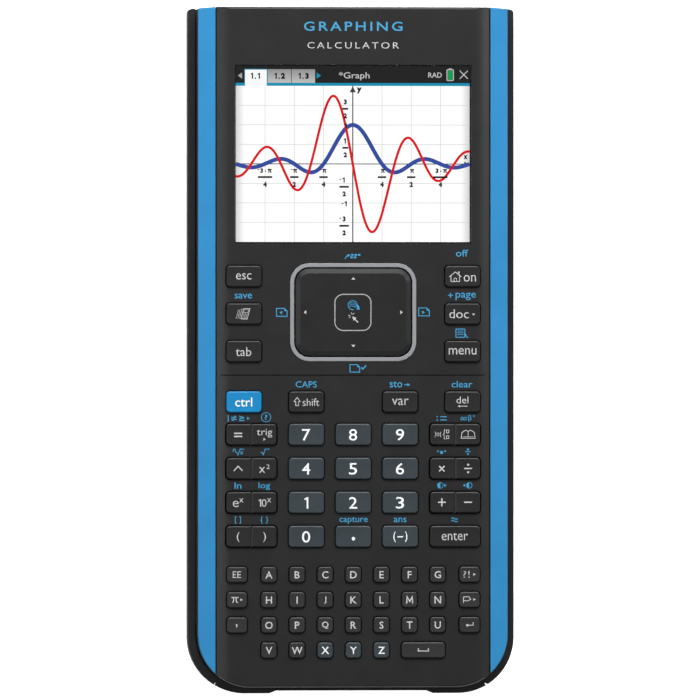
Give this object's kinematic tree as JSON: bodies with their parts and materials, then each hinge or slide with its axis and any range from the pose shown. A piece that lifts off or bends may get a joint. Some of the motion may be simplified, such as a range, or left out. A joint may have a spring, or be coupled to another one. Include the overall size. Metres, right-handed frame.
{
  "type": "graphing calculator",
  "caption": "Handheld graphing calculator with a colour display, touchpad, spring keys, coloured side rails and a slide-on cover stored on its back.",
  "frame": {"origin": "middle of the slide cover's flat underside, in the middle of the whole outline", "axes": "+Z out of the face, +Y towards the display end, +X to the right of the display"},
  "size_m": [0.091, 0.1911, 0.0181],
  "materials": {
    "front_case": "fine matt texture",
    "rear_case": "fine matt texture",
    "slide_cover": "fine matt texture",
    "side_rail": "satin metallic blue",
    "dark_key": "satin moulded",
    "slate_key": "satin moulded",
    "control_key": "satin moulded",
    "display_window": "clear hard-coated",
    "lcd_panel": "lit picture",
    "backlight": "stamped tray",
    "display_cable": "polyimide film",
    "touchpad_ring": "satin",
    "touchpad_plate": "smooth satin",
    "touchpad_inner": "moulded",
    "circuit_board": "solder resist",
    "keypad_mat": "silicone",
    "battery": "wrapped pack",
    "screws": "blackened",
    "feet": "matt",
    "usb_socket": "nickel plated",
    "dock": "moulded with gold contacts",
    "light_pipe": "clear"
  },
  "bodies": {
    "handheld": {"front_case": "front_case", "rear_case": "rear_case", "left_side_rail": "side_rail", "right_side_rail": "side_rail", "display_window": "display_window", "lcd_panel": "lcd_panel", "backlight": "backlight", "display_cable": "display_cable", "touchpad_ring": "touchpad_ring", "keypad_mat": "keypad_mat", "main_board": "circuit_board", "battery_pack": "battery", "battery_door": "rear_case", "battery_door_screws": "screws", "case_screws": "screws", "rear_feet": "feet", "usb_socket": "usb_socket", "dock_connector": "dock", "status_light_pipe": "light_pipe"},
    "escape_key": {"escape_key": "dark_key"},
    "scratchpad_key": {"scratchpad_key": "dark_key"},
    "tab_key": {"tab_key": "dark_key"},
    "home_key": {"home_key": "dark_key"},
    "document_key": {"document_key": "dark_key"},
    "menu_key": {"menu_key": "dark_key"},
    "control_key": {"control_key": "control_key"},
    "shift_key": {"shift_key": "dark_key"},
    "variable_key": {"variable_key": "dark_key"},
    "delete_key": {"delete_key": "dark_key"},
    "digit_0_key": {"digit_0_key": "slate_key"},
    "digit_1_key": {"digit_1_key": "slate_key"},
    "digit_2_key": {"digit_2_key": "slate_key"},
    "digit_3_key": {"digit_3_key": "slate_key"},
    "digit_4_key": {"digit_4_key": "slate_key"},
    "digit_5_key": {"digit_5_key": "slate_key"},
    "digit_6_key": {"digit_6_key": "slate_key"},
    "digit_7_key": {"digit_7_key": "slate_key"},
    "digit_8_key": {"digit_8_key": "slate_key"},
    "digit_9_key": {"digit_9_key": "slate_key"},
    "decimal_point_key": {"decimal_point_key": "slate_key"},
    "negative_sign_key": {"negative_sign_key": "slate_key"},
    "enter_key": {"enter_key": "dark_key"},
    "space_key": {"space_key": "dark_key"},
    "letter_row_1_keys": {"letter_row_1_keys": "dark_key"},
    "letter_row_2_keys": {"letter_row_2_keys": "dark_key"},
    "letter_row_3_keys": {"letter_row_3_keys": "dark_key"},
    "letter_v_w_keys": {"letter_v_w_keys": "dark_key"},
    "letter_x_y_z_keys": {"letter_x_y_z_keys": "slate_key"},
    "equals_trig_rocker": {"equals_trig_rocker": "dark_key"},
    "power_square_rocker": {"power_square_rocker": "dark_key"},
    "exponential_rocker": {"exponential_rocker": "dark_key"},
    "bracket_rocker": {"bracket_rocker": "dark_key"},
    "template_catalog_rocker": {"template_catalog_rocker": "dark_key"},
    "multiply_divide_rocker": {"multiply_divide_rocker": "dark_key"},
    "plus_minus_rocker": {"plus_minus_rocker": "dark_key"},
    "touchpad_carrier": {"touchpad_carrier": "touchpad_inner"},
    "touchpad_tilt_frame": {"touchpad_tilt_frame": "touchpad_inner"},
    "touchpad_plate": {"touchpad_plate": "touchpad_plate", "touchpad_sensor": "circuit_board"},
    "slide_cover": {"slide_cover": "slide_cover"}
  },
  "joints": [
    {"name": "escape_press", "type": "slide", "parent": "handheld", "child": "escape_key", "axis": [0, 0, -1], "range_m": [0, 0.0008], "stiffness_N_per_m": 1900},
    {"name": "scratchpad_press", "type": "slide", "parent": "handheld", "child": "scratchpad_key", "axis": [0, 0, -1], "range_m": [0, 0.0008], "stiffness_N_per_m": 1900},
    {"name": "tab_press", "type": "slide", "parent": "handheld", "child": "tab_key", "axis": [0, 0, -1], "range_m": [0, 0.0008], "stiffness_N_per_m": 1900},
    {"name": "home_press", "type": "slide", "parent": "handheld", "child": "home_key", "axis": [0, 0, -1], "range_m": [0, 0.0008], "stiffness_N_per_m": 1900},
    {"name": "document_press", "type": "slide", "parent": "handheld", "child": "document_key", "axis": [0, 0, -1], "range_m": [0, 0.0008], "stiffness_N_per_m": 1900},
    {"name": "menu_press", "type": "slide", "parent": "handheld", "child": "menu_key", "axis": [0, 0, -1], "range_m": [0, 0.0008], "stiffness_N_per_m": 1900},
    {"name": "control_press", "type": "slide", "parent": "handheld", "child": "control_key", "axis": [0, 0, -1], "range_m": [0, 0.0008], "stiffness_N_per_m": 1900},
    {"name": "shift_press", "type": "slide", "parent": "handheld", "child": "shift_key", "axis": [0, 0, -1], "range_m": [0, 0.0008], "stiffness_N_per_m": 1900},
    {"name": "variable_press", "type": "slide", "parent": "handheld", "child": "variable_key", "axis": [0, 0, -1], "range_m": [0, 0.0008], "stiffness_N_per_m": 1900},
    {"name": "delete_press", "type": "slide", "parent": "handheld", "child": "delete_key", "axis": [0, 0, -1], "range_m": [0, 0.0008], "stiffness_N_per_m": 1900},
    {"name": "digit_0_press", "type": "slide", "parent": "handheld", "child": "digit_0_key", "axis": [0, 0, -1], "range_m": [0, 0.0008], "stiffness_N_per_m": 1900},
    {"name": "digit_1_press", "type": "slide", "parent": "handheld", "child": "digit_1_key", "axis": [0, 0, -1], "range_m": [0, 0.0008], "stiffness_N_per_m": 1900},
    {"name": "digit_2_press", "type": "slide", "parent": "handheld", "child": "digit_2_key", "axis": [0, 0, -1], "range_m": [0, 0.0008], "stiffness_N_per_m": 1900},
    {"name": "digit_3_press", "type": "slide", "parent": "handheld", "child": "digit_3_key", "axis": [0, 0, -1], "range_m": [0, 0.0008], "stiffness_N_per_m": 1900},
    {"name": "digit_4_press", "type": "slide", "parent": "handheld", "child": "digit_4_key", "axis": [0, 0, -1], "range_m": [0, 0.0008], "stiffness_N_per_m": 1900},
    {"name": "digit_5_press", "type": "slide", "parent": "handheld", "child": "digit_5_key", "axis": [0, 0, -1], "range_m": [0, 0.0008], "stiffness_N_per_m": 1900},
    {"name": "digit_6_press", "type": "slide", "parent": "handheld", "child": "digit_6_key", "axis": [0, 0, -1], "range_m": [0, 0.0008], "stiffness_N_per_m": 1900},
    {"name": "digit_7_press", "type": "slide", "parent": "handheld", "child": "digit_7_key", "axis": [0, 0, -1], "range_m": [0, 0.0008], "stiffness_N_per_m": 1900},
    {"name": "digit_8_press", "type": "slide", "parent": "handheld", "child": "digit_8_key", "axis": [0, 0, -1], "range_m": [0, 0.0008], "stiffness_N_per_m": 1900},
    {"name": "digit_9_press", "type": "slide", "parent": "handheld", "child": "digit_9_key", "axis": [0, 0, -1], "range_m": [0, 0.0008], "stiffness_N_per_m": 1900},
    {"name": "decimal_point_press", "type": "slide", "parent": "handheld", "child": "decimal_point_key", "axis": [0, 0, -1], "range_m": [0, 0.0008], "stiffness_N_per_m": 1900},
    {"name": "negative_sign_press", "type": "slide", "parent": "handheld", "child": "negative_sign_key", "axis": [0, 0, -1], "range_m": [0, 0.0008], "stiffness_N_per_m": 1900},
    {"name": "enter_press", "type": "slide", "parent": "handheld", "child": "enter_key", "axis": [0, 0, -1], "range_m": [0, 0.0008], "stiffness_N_per_m": 1900},
    {"name": "space_press", "type": "slide", "parent": "handheld", "child": "space_key", "axis": [0, 0, -1], "range_m": [0, 0.0008], "stiffness_N_per_m": 1900},
    {"name": "letter_row_1_press", "type": "slide", "parent": "handheld", "child": "letter_row_1_keys", "axis": [0, 0, -1], "range_m": [0, 0.0008], "stiffness_N_per_m": 1900},
    {"name": "letter_row_2_press", "type": "slide", "parent": "handheld", "child": "letter_row_2_keys", "axis": [0, 0, -1], "range_m": [0, 0.0008], "stiffness_N_per_m": 1900},
    {"name": "letter_row_3_press", "type": "slide", "parent": "handheld", "child": "letter_row_3_keys", "axis": [0, 0, -1], "range_m": [0, 0.0008], "stiffness_N_per_m": 1900},
    {"name": "letter_v_w_press", "type": "slide", "parent": "handheld", "child": "letter_v_w_keys", "axis": [0, 0, -1], "range_m": [0, 0.0008], "stiffness_N_per_m": 1900},
    {"name": "letter_x_y_z_press", "type": "slide", "parent": "handheld", "child": "letter_x_y_z_keys", "axis": [0, 0, -1], "range_m": [0, 0.0008], "stiffness_N_per_m": 1900},
    {"name": "equals_trig_tip", "type": "hinge", "parent": "handheld", "child": "equals_trig_rocker", "pos_m": [-0.02837, -0.02345, 0.015], "axis": [0, 1, 0], "range_deg": [-6.3, 6.3], "stiffness_Nm_per_rad": 0.03},
    {"name": "power_square_tip", "type": "hinge", "parent": "handheld", "child": "power_square_rocker", "pos_m": [-0.02837, -0.0329, 0.015], "axis": [0, 1, 0], "range_deg": [-6.3, 6.3], "stiffness_Nm_per_rad": 0.03},
    {"name": "exponential_tip", "type": "hinge", "parent": "handheld", "child": "exponential_rocker", "pos_m": [-0.02837, -0.04235, 0.015], "axis": [0, 1, 0], "range_deg": [-6.3, 6.3], "stiffness_Nm_per_rad": 0.03},
    {"name": "bracket_tip", "type": "hinge", "parent": "handheld", "child": "bracket_rocker", "pos_m": [-0.02837, -0.0518, 0.015], "axis": [0, 1, 0], "range_deg": [-6.3, 6.3], "stiffness_Nm_per_rad": 0.03},
    {"name": "template_catalog_tip", "type": "hinge", "parent": "handheld", "child": "template_catalog_rocker", "pos_m": [0.02837, -0.02345, 0.015], "axis": [0, 1, 0], "range_deg": [-6.3, 6.3], "stiffness_Nm_per_rad": 0.03},
    {"name": "multiply_divide_tip", "type": "hinge", "parent": "handheld", "child": "multiply_divide_rocker", "pos_m": [0.02837, -0.0329, 0.015], "axis": [0, 1, 0], "range_deg": [-6.3, 6.3], "stiffness_Nm_per_rad": 0.03},
    {"name": "plus_minus_tip", "type": "hinge", "parent": "handheld", "child": "plus_minus_rocker", "pos_m": [0.02837, -0.04235, 0.015], "axis": [0, 1, 0], "range_deg": [-6.3, 6.3], "stiffness_Nm_per_rad": 0.03},
    {"name": "touchpad_click", "type": "slide", "parent": "handheld", "child": "touchpad_carrier", "axis": [0, 0, -1], "range_m": [0, 0.0004], "stiffness_N_per_m": 4000},
    {"name": "touchpad_tilt_up_down", "type": "hinge", "parent": "touchpad_carrier", "child": "touchpad_tilt_frame", "pos_m": [0, 0.0105, 0.0142], "axis": [1, 0, 0], "range_deg": [-2.6, 2.6], "stiffness_Nm_per_rad": 0.5},
    {"name": "touchpad_tilt_left_right", "type": "hinge", "parent": "touchpad_tilt_frame", "child": "touchpad_plate", "pos_m": [0, 0.0105, 0.0142], "axis": [0, 1, 0], "range_deg": [-2.2, 2.2], "stiffness_Nm_per_rad": 0.5},
    {"name": "slide_cover_removal", "type": "slide", "parent": "handheld", "child": "slide_cover", "axis": [0, -1, 0], "range_m": [0, 0.195]}
  ]
}
